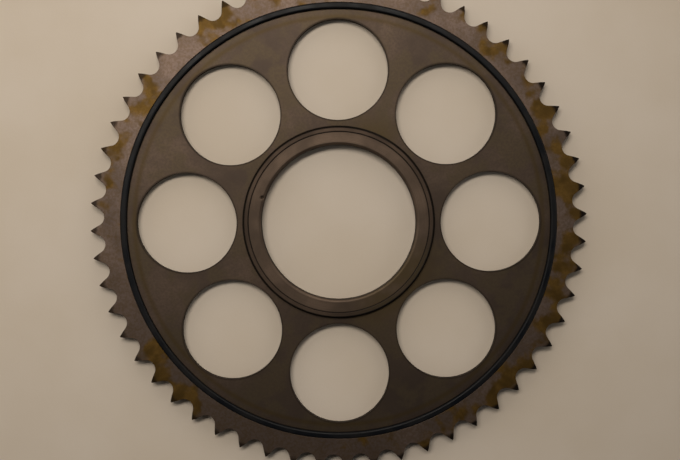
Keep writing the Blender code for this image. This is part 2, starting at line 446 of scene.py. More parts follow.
class Effects:
    """Builds each shared effect once, as a node group with named inputs and outputs.

    Each effect has a method of its name. The method's parameters after the graph are the group's inputs, and
    what it returns are the group's outputs by name.
    """

    CLOUD_RANGE = (0.32, 0.68)
    CLOUD_DETAIL = 5.0
    GRAIN_DETAIL = 2.0
    FINE_DETAIL = 2.0
    COARSE_SHARE = 0.22
    COARSE_DETAIL = 1.0
    STREAK_RANGE = (0.36, 0.64)
    STREAK_DETAIL = 4.0
    STEEP_RANGE = (0.25, 0.97)

    def __init__(self) -> None:
        """Start with no group built."""
        self.built: dict[Effect, NodeTree] = {}

    def get(self, effect: Effect) -> NodeTree:
        """The group of an effect, built the first time it is asked for."""
        if effect not in self.built:
            self.built[effect] = self.build(effect)
        return self.built[effect]

    def build(self, effect: Effect) -> NodeTree:
        """Build the group of an effect.

        Args:
            effect: The effect.

        Returns:
            The new group.
        """
        make = getattr(self, effect.name.lower())
        names = list(signature(make).parameters)[1:]
        tree = bpy.data.node_groups.new(effect.value, "ShaderNodeTree")
        for name in names:
            kind = WHERE.get(name, Socket.VALUE)
            tree.interface.new_socket(label(name), in_out="INPUT", socket_type=kind.value)
        graph = Graph(tree)
        results = make(graph, *graph.node("NodeGroupInput").outputs[: len(names)])
        for name in results:
            kind = WHERE.get(name, Socket.VALUE)
            tree.interface.new_socket(label(name), in_out="OUTPUT", socket_type=kind.value)
        out = graph.node("NodeGroupOutput")
        graph.feed_all(out, {label(name): socket for name, socket in results.items()})
        return tree

    def place(self, graph: Graph) -> dict[str, NodeSocket]:
        """Place on the sprocket: position, distance from the axis, angle round it and direction out.

        Args:
            graph: The group's graph.

        Returns:
            The four outputs.
        """
        place = graph.node("TexCoord").outputs["Object"]
        flat = graph.node("VectorMath", place, (1.0, 1.0, 0.0), operation="MULTIPLY").outputs[0]
        apart = graph.node("SeparateXYZ", place).outputs
        return {
            "place": place,
            "radius": graph.node("VectorMath", flat, operation="LENGTH").outputs["Value"],
            "angle": graph.math("ARCTAN2", apart["Y"], apart["X"]),
            "outward": graph.node("VectorMath", flat, operation="NORMALIZE").outputs[0],
        }

    def mottle(
        self, graph: Graph, place: NodeSocket, cloud_scale: NodeSocket, grain_scale: NodeSocket
    ) -> dict[str, NodeSocket]:
        """Cloudy tone of old steel, and the fine grain on it.

        Args:
            graph: The group's graph.
            place: Place on the sprocket.
            cloud_scale: Number of clouds in a metre.
            grain_scale: Number of grains in a metre.

        Returns:
            The two outputs.
        """
        broad = graph.noise(place, cloud_scale, self.CLOUD_DETAIL)
        fine = graph.noise(place, grain_scale, self.GRAIN_DETAIL)
        return {"cloud": graph.ramp(broad, *self.CLOUD_RANGE), "grain": fine}

    def turning(self, graph: Graph, radius: NodeSocket, lines: NodeSocket) -> dict[str, NodeSocket]:
        """Fine circles that a lathe tool leaves, uneven in depth.

        Args:
            graph: The group's graph.
            radius: Distance from the axis.
            lines: Number of fine circles in a metre.

        Returns:
            Its one output, the height.
        """
        fewer = graph.times(lines, self.COARSE_SHARE)
        fine = graph.noise(radius, lines, self.FINE_DETAIL, kind="1D")
        coarse = graph.noise(radius, fewer, self.COARSE_DETAIL, kind="1D")
        return {"height": graph.math("ADD", fine, coarse)}

    def streaks(
        self,
        graph: Graph,
        outward: NodeSocket,
        radius: NodeSocket,
        across: NodeSocket,
        along: NodeSocket,
        seed: NodeSocket,
    ) -> dict[str, NodeSocket]:
        """Marks drawn out along the radius, as left by wiping and by oil thrown outwards.

        Args:
            graph: The group's graph.
            outward: Direction out from the axis.
            radius: Distance from the axis.
            across: Number of streaks across.
            along: Number of changes along them.
            seed: Where their pattern starts.

        Returns:
            Its one output, the mask.
        """
        shift = graph.node("CombineXYZ", 0.0, 0.0, graph.plus_times(seed, radius, along)).outputs[0]
        round_axis = graph.node("VectorMath", outward, operation="SCALE")
        graph.feed(round_axis.inputs["Scale"], across)
        spread = graph.node("VectorMath", round_axis.outputs[0], shift, operation="ADD").outputs[0]
        return {"mask": graph.ramp(graph.noise(spread, 1.0, self.STREAK_DETAIL), *self.STREAK_RANGE)}

    def sector(
        self, graph: Graph, angle: NodeSocket, middle: NodeSocket, half_width: NodeSocket
    ) -> dict[str, NodeSocket]:
        """1 in the middle of a sector of the sprocket, smoothly down to 0 outside it."""
        away = graph.math("COSINE", graph.math("SUBTRACT", angle, middle))
        return {"weight": graph.ramp(away, graph.math("COSINE", half_width), 1.0)}

    def line(
        self, graph: Graph, radius: NodeSocket, circle: NodeSocket, width: NodeSocket
    ) -> dict[str, NodeSocket]:
        """1 on a circle round the axis, smoothly down to 0 at a distance from it."""
        away = graph.math("ABSOLUTE", graph.math("SUBTRACT", radius, circle))
        return {"mask": graph.ramp(away, 0.0, width, 1.0, 0.0)}

    @staticmethod
    def from_nearest(
        graph: Graph, angle: NodeSocket, first: NodeSocket, spacing: NodeSocket
    ) -> tuple[NodeSocket, NodeSocket]:
        """Angle from the nearest of an even circle of things, and half of the angle between two.

        Args:
            graph: The group's graph.
            angle: Angle round the axis.
            first: Angle of the first of them.
            spacing: Angle between two of them.

        Returns:
            The angle and the half.
        """
        half = graph.times(spacing, 0.5)
        from_first = graph.math("SUBTRACT", angle, first)
        return graph.math("WRAP", from_first, half, graph.times(half, -1.0)), half

    def tooth(
        self, graph: Graph, angle: NodeSocket, first: NodeSocket, spacing: NodeSocket
    ) -> dict[str, NodeSocket]:
        """Place in a tooth's share of the turn: 0 on its middle line, 1 in the middle of a gap."""
        wrapped, half = self.from_nearest(graph, angle, first, spacing)
        return {"off_middle": graph.math("DIVIDE", graph.math("ABSOLUTE", wrapped), half)}

    def hole(
        self,
        graph: Graph,
        radius: NodeSocket,
        angle: NodeSocket,
        first: NodeSocket,
        spacing: NodeSocket,
        circle: NodeSocket,
        hole_radius: NodeSocket,
    ) -> dict[str, NodeSocket]:
        """Distance from the edge of the nearest hole in an even circle of holes.

        Args:
            graph: The group's graph.
            radius: Distance from the axis.
            angle: Angle round the axis.
            first: Angle of the first hole.
            spacing: Angle from hole to hole.
            circle: Radius of the circle of the holes' centres.
            hole_radius: Radius of a hole.

        Returns:
            Its one output, the distance.
        """
        wrapped, _ = self.from_nearest(graph, angle, first, spacing)
        along = graph.times(radius, graph.math("COSINE", wrapped))
        across = graph.times(radius, graph.math("SINE", wrapped))
        offset = graph.math("SUBTRACT", along, circle)
        square = graph.plus_times(graph.times(across, across), offset, offset)
        return {"distance": graph.math("SUBTRACT", graph.math("SQRT", square), hole_radius)}

    def walls(self, graph: Graph) -> dict[str, NodeSocket]:
        """1 on faces that stand steeply, 0 on flat ones.

        Args:
            graph: The group's graph.

        Returns:
            Its one output, the mask.
        """
        normal = graph.node("NewGeometry").outputs["Normal"]
        flatness = graph.math("ABSOLUTE", graph.node("SeparateXYZ", normal).outputs["Z"])
        return {"mask": graph.ramp(flatness, *self.STEEP_RANGE, 1.0, 0.0)}


# --- Finishes ---
@dataclass(frozen=True)
class Sector:
    """A sector of the sprocket, and how strongly something shows in its middle."""

    middle: float
    half_width: float
    strength: float = 1.0


@dataclass(frozen=True)
class Streaks:
    """Radial streaks: how many across and along, where they start, and how strongly they show."""

    across: float
    along: float
    seed: float = 0.0
    strength: float = 1.0


@dataclass(frozen=True)
class Spots:
    """Random spots: how many in a metre, how ragged, the noise values where they start and are full."""

    scale: float
    detail: float
    start: float
    full: float
    strength: float


@dataclass(frozen=True)
class Surface:
    """What varies over a finish. The bump follows the height."""

    colour: NodeSocket
    roughness: Value
    metallic: Value
    height: NodeSocket


class Brush(Graph):
    """A material's graph, which knows where on the sprocket it is and places the shared effects."""

    def __init__(self, tree: NodeTree, effects: Effects) -> None:
        """Work on a material's empty node tree.

        Args:
            tree: The material's node tree.
            effects: The shared effects.
        """
        super().__init__(tree)
        self.effects = effects
        self.where: dict[str, NodeSocket] = {}
        self.where = dict(zip(WHERE, self.effect(Effect.PLACE)))
        self.place = self.where["place"]
        self.radius = self.where["radius"]

    def effect(self, effect: Effect, **values: Value) -> list[NodeSocket]:
        """Place a shared effect, which is told by itself where on the sprocket it is.

        Args:
            effect: The effect.
            values: Its other inputs.

        Returns:
            Its outputs in order.
        """
        made = self.node("Group", node_tree=self.effects.get(effect))
        asked = {socket.name for socket in made.inputs}
        told = {name: socket for name, socket in self.where.items() if label(name) in asked}
        self.feed_all(made, {label(name): value for name, value in {**told, **values}.items()})
        return list(made.outputs)

    def sector(self, sector: Sector) -> NodeSocket:
        """How strongly a sector shows here."""
        weight, = self.effect(Effect.SECTOR, middle=sector.middle, half_width=sector.half_width)
        return self.times(weight, sector.strength)

    def sectors(self, sectors: tuple[Sector, ...]) -> NodeSocket:
        """How strongly the strongest of a few sectors shows here."""
        return self.largest(*(self.sector(sector) for sector in sectors))

    def streaks(self, kind: Streaks) -> NodeSocket:
        """How strongly radial streaks show here."""
        mask, = self.effect(Effect.STREAKS, across=kind.across, along=kind.along, seed=kind.seed)
        return self.times(mask, kind.strength)

    def spots(self, kind: Spots) -> NodeSocket:
        """How strongly random spots show here."""
        noise = self.noise(self.place, kind.scale, kind.detail)
        return self.ramp(noise, kind.start, kind.full, 0.0, kind.strength)

    def by_radius(self, start: float, end: float, low: float = 0.0, high: float = 1.0) -> NodeSocket:
        """Number that goes smoothly from low, at one distance from the axis, to high, at another."""
        return self.ramp(self.radius, start, end, low, high)


@dataclass(frozen=True)
class Finish:
    """A finish of the sprocket. Each kind says in paint() what varies over its surface.

    Scales are the number of clouds or grains in a metre, roughly. The shade is the colour of the clouds, and
    metallic is the value where no film of oil lies.
    """

    name: str
    clean: Colour
    shade: Colour
    cloud_scale: float
    grain_scale: float
    bump_depth: float = 0.00003
    specular: float = 0.5
    metallic: float = 0.85

    def paint(self, brush: Brush, cloud: NodeSocket, grain: NodeSocket) -> Surface:
        """What varies over the surface, given its clouds and its grain."""
        raise NotImplementedError

    def material(self, effects: Effects) -> Material:
        """Build the finish as a material.

        Args:
            effects: The shared effects.

        Returns:
            The new material.
        """
        made = bpy.data.materials.new(self.name)
        made.use_nodes = True
        brush = Brush(made.node_tree, effects)
        cloud, grain = brush.effect(
            Effect.MOTTLE, cloud_scale=self.cloud_scale, grain_scale=self.grain_scale
        )
        surface = self.paint(brush, cloud, grain)
        bump = brush.node("Bump")
        brush.feed_all(bump, {"Distance": self.bump_depth, "Strength": 1.0, "Height": surface.height})
        shader = brush.node("BsdfPrincipled")
        looks = {
            "Base Color": surface.colour,
            "Roughness": surface.roughness,
            "Metallic": surface.metallic,
            "Normal": bump.outputs["Normal"],
            "Specular IOR Level": self.specular,
        }
        brush.feed_all(shader, looks)
        brush.node("OutputMaterial", shader.outputs["BSDF"])
        return made


@dataclass(frozen=True)
class SteelFinish(Finish):
    """Old steel that is dirty along its edges and on its walls.

    Its bare roughness lies between smooth and rough.
    """

    oil: Colour = (0.070, 0.045, 0.014)
    soot: Colour = (0.014, 0.010, 0.007)
    wall_dirt: float = 0.7
    smooth: float = 0.48
    rough: float = 0.58
    dirt_rough: float = 0.72
    oily_metallic: float = 0.5

    def dirt(self, brush: Brush, *edges: NodeSocket) -> NodeSocket:
        """Where dirt lies: on the walls and along the edges."""
        walls, = brush.effect(Effect.WALLS)
        return brush.largest(*edges, brush.times(walls, self.wall_dirt))

    def under_dirt(self, brush: Brush, colour: NodeSocket, rough: NodeSocket, dirt: NodeSocket) -> tuple:
        """Colour and roughness under dirt."""
        return brush.blend(dirt, colour, self.soot), brush.level(dirt, rough, self.dirt_rough)

    def under_film(
        self, brush: Brush, steel: NodeSocket, film: NodeSocket, dirt: NodeSocket, grain: NodeSocket
    ) -> tuple:
        """Colour, roughness and metallic value of steel under a film of oil and dirt.

        Args:
            brush: The material's graph.
            steel: Colour of the steel.
            film: Where the film lies.
            dirt: Where the dirt lies.
            grain: The finish's grain.

        Returns:
            The colour, the roughness and the metallic value.
        """
        rough = brush.level(grain, self.smooth, self.rough)
        oily = brush.blend(film, steel, self.oil)
        metallic = brush.level(film, self.metallic, self.oily_metallic)
        return *self.under_dirt(brush, oily, rough, dirt), metallic


@dataclass(frozen=True)
class RimFinish(SteelFinish):
    """Ground steel of the toothed ring, with oil stains, dirty tooth tips and dull tooth gaps.

    Attributes:
        gold: Colour of thin old oil. Thick old oil has the colour oil.
        inner_reach: Share of the stains' reach at the ring's inner edge.
        runs: Streaks that the stains run out in.
        wisps: Streaks of thick oil in the stains.
        gap_spread: Width of the oil below a tooth, in shares of its pitch, at the bore and at the root.
        gap_core: Share of that width where the oil is full.
        gap_clean: Share of that oil where there are no stains.
        tip_noise: Raggedness of the dirt on the tips: spots in a metre, detail and reach.
        tip_band: How far below the tips their dirt starts and is full.
        tip_clean: Share of that dirt outside the heavy sectors.
    """

    clean: Colour = (0.178, 0.130, 0.108)
    shade: Colour = (0.118, 0.087, 0.072)
    gold: Colour = (0.152, 0.086, 0.020)
    oil: Colour = (0.080, 0.045, 0.009)
    soot: Colour = (0.010, 0.006, 0.004)
    cloud_scale: float = 55.0
    grain_scale: float = 1800.0
    wall_dirt: float = 0.75
    root_radius: float = 0.1365
    tip_radius: float = 0.1446
    bore_radius: float = 0.127
    first_tooth: float = 0.0
    tooth_pitch: float = 0.11
    heavy_sectors: tuple[Sector, ...] = (Sector(0.15, 1.25), Sector(5.6, 0.9))
    light_sectors: tuple[Sector, ...] = (Sector(2.0, 0.35), Sector(2.75, 0.35), Sector(3.9, 0.3))
    # Painted shade: the ring is darkened towards the lower left, where the key light's reflection falls off.
    dull_sector: Sector = Sector(-2.1, 1.1, 0.9)
    heavy_reach: float = 0.27
    light_reach: float = 0.20
    inner_reach: float = 0.55
    runs: Streaks = Streaks(14.0, 90.0)
    run_depth: float = 0.10
    patch_scale: float = 80.0
    patch_detail: float = 3.0
    stain_range: tuple[float, float] = (0.65, 0.82)
    wisps: Streaks = Streaks(20.0, 110.0, 7.0)
    wisp_depth: float = 0.5
    specks: Spots = Spots(750.0, 2.0, 0.35, 0.65, 0.35)
    gap_spread: tuple[float, float] = (0.10, 0.55)
    gap_core: float = 0.2
    gap_start: float = 0.002
    gap_strength: float = 0.55
    gap_clean: float = 0.25
    tip_noise: tuple[float, float, float] = (260.0, 2.0, 0.004)
    tip_band: tuple[float, float] = (0.0030, 0.0010)
    tip_clean: float = 0.65
    stain_rough: float = 0.56

    def stains(self, brush: Brush, heavy: NodeSocket) -> NodeSocket:
        """Where old oil stains the face: in some sectors, in patches and in streaks.

        Args:
            brush: The material's graph.
            heavy: Where the heavy sectors lie.

        Returns:
            Where they lie.
        """
        light = brush.sectors(self.light_sectors)
        patches = brush.noise(brush.place, self.patch_scale, self.patch_detail)
        outer = brush.by_radius(self.bore_radius, self.root_radius, self.inner_reach)
        reach = brush.plus_times(brush.times(light, self.light_reach), heavy, self.heavy_reach)
        wet = brush.plus_times(patches, brush.streaks(self.runs), self.run_depth)
        return brush.ramp(brush.plus_times(wet, reach, outer), *self.stain_range)

    def below_teeth(self, brush: Brush, stains: NodeSocket) -> NodeSocket:
        """Where oil lies in a wedge below each tooth.

        Args:
            brush: The material's graph.
            stains: Where the stains lie.

        Returns:
            Where it lies.
        """
        tooth, = brush.effect(Effect.TOOTH, first=self.first_tooth, spacing=self.tooth_pitch)
        spread = brush.by_radius(self.bore_radius, self.root_radius, *self.gap_spread)
        wedge = brush.ramp(tooth, brush.times(spread, self.gap_core), spread, 1.0, 0.0)
        fade = brush.by_radius(self.bore_radius + self.gap_start, self.root_radius, 0.0, self.gap_strength)
        return brush.times(wedge, brush.times(fade, brush.ramp(stains, 0.0, 1.0, self.gap_clean, 1.0)))

    def tip_dirt(self, brush: Brush, heavy: NodeSocket) -> NodeSocket:
        """Where dirt lies on the tooth tips, with a ragged edge.

        Args:
            brush: The material's graph.
            heavy: Where the heavy sectors lie.

        Returns:
            Where it lies.
        """
        scale, detail, reach = self.tip_noise
        ragged = brush.plus_times(brush.radius, brush.noise(brush.place, scale, detail), reach)
        start, full = self.tip_band
        tips = brush.ramp(ragged, self.tip_radius - start, self.tip_radius - full)
        return brush.times(tips, brush.level(heavy, self.tip_clean, 1.0))

    def paint(self, brush: Brush, cloud: NodeSocket, grain: NodeSocket) -> Surface:
        """Clouded steel under stains, painted shade in the lower-left sector, wedges of oil below the teeth,
        and dirt on the tips and walls.

        Args:
            brush: The material's graph.
            cloud: The finish's clouds.
            grain: The finish's grain.

        Returns:
            What varies over the surface.
        """
        heavy = brush.sectors(self.heavy_sectors)
        stains = self.stains(brush, heavy)
        wisps = brush.streaks(self.wisps)
        steel = brush.blend(cloud, self.clean, self.shade)
        # Painted shade: the steel turns to its darker colour in the lower-left sector.
        steel = brush.blend(brush.sector(self.dull_sector), steel, self.shade)
        stained = brush.blend(stains, steel, brush.blend(wisps, self.gold, self.oil))
        colour = brush.blend(brush.spots(self.specks), stained, self.oil)
        colour = brush.blend(self.below_teeth(brush, stains), colour, self.oil)
        dirt = self.dirt(brush, self.tip_dirt(brush, heavy))
        rough = brush.level(stains, brush.level(grain, self.smooth, self.rough), self.stain_rough)
        colour, rough = self.under_dirt(brush, colour, rough, dirt)
        return Surface(colour, rough, self.metallic, brush.plus_times(grain, wisps, self.wisp_depth))


@dataclass(frozen=True)
class WebFinish(SteelFinish):
    """Smooth dark steel of the web, with dirty hole edges and a trace of old oil.

    Attributes:
        drab: Colour of its faint stains.
        margin: Distance of a faint dark circle from the outer edge.
        film_width: How far a film of oil reaches from the inner edge.
        hole_dirt: Distances from a hole where its dirt fades and is gone, and its strength.
        outer_dirt: Width and strength of the dirt along the outer edge.
        inner_dirt: Distances from the inner edge where its dirt fades and is gone.
    """

    clean: Colour = (0.124, 0.087, 0.064)
    shade: Colour = (0.066, 0.048, 0.037)
    drab: Colour = (0.092, 0.068, 0.042)
    cloud_scale: float = 26.0
    grain_scale: float = 2200.0
    smooth: float = 0.50
    rough: float = 0.60
    dirt_rough: float = 0.75
    outer_radius: float = 0.123
    bore_radius: float = 0.056
    first_hole: float = 0.0
    hole_spacing: float = 0.785
    hole_circle: float = 0.088
    hole_radius: float = 0.029
    lines: float = 2600.0
    line_depth: float = 0.35
    streaks: Streaks = Streaks(18.0, 25.0, 3.0, 0.35)
    # Painted shade: the web is darkened towards the bottom, where the key light's reflection falls off.
    dull_sector: Sector = Sector(-1.6, 0.7, 0.8)
    patches: Spots = Spots(85.0, 4.0, 0.42, 0.60, 0.8)
    specks: Spots = Spots(700.0, 2.0, 0.35, 0.65, 0.40)
    margin: float = 0.0046
    margin_width: float = 0.0024
    margin_strength: float = 0.55
    film_sectors: tuple[Sector, ...] = (Sector(-0.85, 0.75), Sector(1.18, 0.28))
    film_width: float = 0.016
    film_strength: float = 0.8
    hole_dirt: tuple[float, float, float] = (0.0002, 0.0012, 0.55)
    outer_dirt: tuple[float, float] = (0.0008, 0.4)
    inner_dirt: tuple[float, float] = (0.0006, 0.0013)

    def edge_dirt(self, brush: Brush) -> NodeSocket:
        """Where dirt lies: along the holes, along both edges and on the walls.

        Args:
            brush: The material's graph.

        Returns:
            Where it lies.
        """
        from_hole, = brush.effect(
            Effect.HOLE,
            first=self.first_hole,
            spacing=self.hole_spacing,
            circle=self.hole_circle,
            hole_radius=self.hole_radius,
        )
        near, far, strength = self.hole_dirt
        holes = brush.ramp(from_hole, near, far, strength, 0.0)
        width, strength = self.outer_dirt
        outer = brush.by_radius(self.outer_radius - width, self.outer_radius, 0.0, strength)
        start, full = self.inner_dirt
        inner = brush.by_radius(self.bore_radius + start, self.bore_radius + full, 1.0, 0.0)
        return self.dirt(brush, holes, outer, inner)

    def paint(self, brush: Brush, cloud: NodeSocket, grain: NodeSocket) -> Surface:
        """Softly clouded steel that darkens along its edges, with painted shade in the bottom sector.

        Args:
            brush: The material's graph.
            cloud: The finish's clouds.
            grain: The finish's grain.

        Returns:
            What varies over the surface.
        """
        turning, = brush.effect(Effect.TURNING, lines=self.lines)
        steel = brush.blend(cloud, self.clean, self.shade)
        steel = brush.blend(brush.streaks(self.streaks), steel, self.shade)
        # Painted shade: the steel turns to its darker colour in the bottom sector.
        steel = brush.blend(brush.sector(self.dull_sector), steel, self.shade)
        steel = brush.blend(brush.spots(self.patches), steel, self.drab)
        steel = brush.blend(brush.spots(self.specks), steel, self.shade)
        circle = self.outer_radius - self.margin
        margin, = brush.effect(Effect.LINE, circle=circle, width=self.margin_width)
        steel = brush.blend(brush.times(margin, self.margin_strength), steel, self.oil)
        near_hub = brush.by_radius(self.bore_radius, self.bore_radius + self.film_width, 1.0, 0.0)
        film = brush.times(near_hub, brush.sectors(self.film_sectors))
        film = brush.times(film, self.film_strength)
        height = brush.plus_times(grain, turning, self.line_depth)
        return Surface(*self.under_film(brush, steel, film, self.edge_dirt(brush), grain), height)


@dataclass(frozen=True)
class TurnedFinish(SteelFinish):
    """Lathe-turned steel of the hub pieces, dark with old oil.

    Attributes:
        inner_dirt: How far dirt reaches from the inner edge.
        outer_dirt: How far dirt reaches from the outer edge.
        full_share: Share of that reach where the dirt is full.
        line_shade: Where the turning marks get dark, where they are darkest, and how dark.
        film_clouds: How the film of oil follows the clouds: two cloud values, and its strengths there.
    """

    clean: Colour = (0.152, 0.108, 0.079)
    shade: Colour = (0.080, 0.057, 0.042)
    oil: Colour = (0.066, 0.043, 0.017)
    cloud_scale: float = 48.0
    grain_scale: float = 2000.0
    wall_dirt: float = 0.55
    inner_radius: float = 0.045
    outer_radius: float = 0.052
    inner_dirt: float = 0.001
    inner_strength: float = 0.8
    outer_dirt: float = 0.001
    full_share: float = 1.0 / 3.0
    lines: float = 1900.0
    line_depth: float = 0.8
    line_shade: tuple[float, float, float] = (0.95, 1.3, 0.7)
    film_sector: Sector = Sector(-0.8, 0.7)
    film_clouds: tuple[float, float, float, float] = (0.2, 0.9, 0.5, 1.0)

    def paint(self, brush: Brush, cloud: NodeSocket, grain: NodeSocket) -> Surface:
        """Circles of the lathe tool over clouded steel, with dirt along both edges.

        Args:
            brush: The material's graph.
            cloud: The finish's clouds.
            grain: The finish's grain.

        Returns:
            What varies over the surface.
        """
        turning, = brush.effect(Effect.TURNING, lines=self.lines)
        start, full, strength = self.line_shade
        steel = brush.blend(cloud, self.clean, self.shade)
        steel = brush.blend(brush.ramp(turning, start, full, 0.0, strength), steel, self.shade)
        film = brush.times(brush.sector(self.film_sector), brush.ramp(cloud, *self.film_clouds))
        inner_end = self.inner_radius + self.inner_dirt
        inner = brush.by_radius(self.inner_radius, inner_end, self.inner_strength, 0.0)
        outer_start = self.outer_radius - self.outer_dirt
        outer = brush.by_radius(outer_start, self.outer_radius - self.outer_dirt * self.full_share)
        height = brush.plus_times(grain, turning, self.line_depth)
        return Surface(*self.under_film(brush, steel, film, self.dirt(brush, inner, outer), grain), height)


@dataclass(frozen=True)
class RubberFinish(Finish):
    """Black rubber with a little dust in soft clouds. Its base is tinted faintly blue as a painted reflection
    of cool light.
    """

    # Painted reflection: the faint blue in the base stands in for cool light reflected off the rubber.
    clean: Colour = (0.003, 0.004, 0.006)
    shade: Colour = (0.010, 0.008, 0.006)
    cloud_scale: float = 90.0
    grain_scale: float = 2600.0
    bump_depth: float = 0.00002
    specular: float = 0.2
    metallic: float = 0.0
    dust: float = 0.4
    smooth: float = 0.38
    rough: float = 0.6

    def paint(self, brush: Brush, cloud: NodeSocket, grain: NodeSocket) -> Surface:
        """Even black with fine grain and dust in soft clouds."""
        colour = brush.blend(brush.times(cloud, self.dust), self.clean, self.shade)
        return Surface(colour, brush.level(cloud, self.smooth, self.rough), self.metallic, grain)


@dataclass(frozen=True)
class PaperFinish(Finish):
    """Pale paper under the sprocket, faintly clouded and fibrous."""

    clean: Colour = (0.66, 0.585, 0.50)
    shade: Colour = (0.62, 0.54, 0.445)
    cloud_scale: float = 11.0
    grain_scale: float = 900.0
    bump_depth: float = 0.00004
    specular: float = 0.2
    metallic: float = 0.0
    rough: float = 0.85

    def paint(self, brush: Brush, cloud: NodeSocket, grain: NodeSocket) -> Surface:
        """Soft clouds of tone and a fine fibre."""
        return Surface(brush.blend(cloud, self.clean, self.shade), self.rough, self.metallic, grain)


# --- Pieces ---
class Slot(Enum):
    """The record's material slots."""

    RIM = "rim_steel"
    DAMPER = "damper_rubber"
    WEB = "web_steel"
    HUB = "hub_steel"
    BUSH = "bush_steel"


@dataclass
class Piece:
    """A piece of the sprocket, which stands for the node of the same name and fills a material slot."""

    node: str
    slot: Slot
    reach: Reach

    def shape(self) -> BMesh:
        """Model the piece."""
        raise NotImplementedError

    def finish(self) -> Finish:
        """Choose the piece's finish."""
        raise NotImplementedError

    def build(self, effects: Effects) -> Object:
        """Model the piece, dress it and put it in the frame.

        Args:
            effects: The shared effects.

        Returns:
            The finished object.
        """
        made = add_mesh(self.node + "_fine", self.shape(), self.finish().material(effects))
        made.data.shade_smooth()
        made.data.set_sharp_from_angle(angle=SHARP_ANGLE)
        made.modifiers.new("even_shading", "WEIGHTED_NORMAL").keep_sharp = True
        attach(made, BODY)
        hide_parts(self.node)
        return made


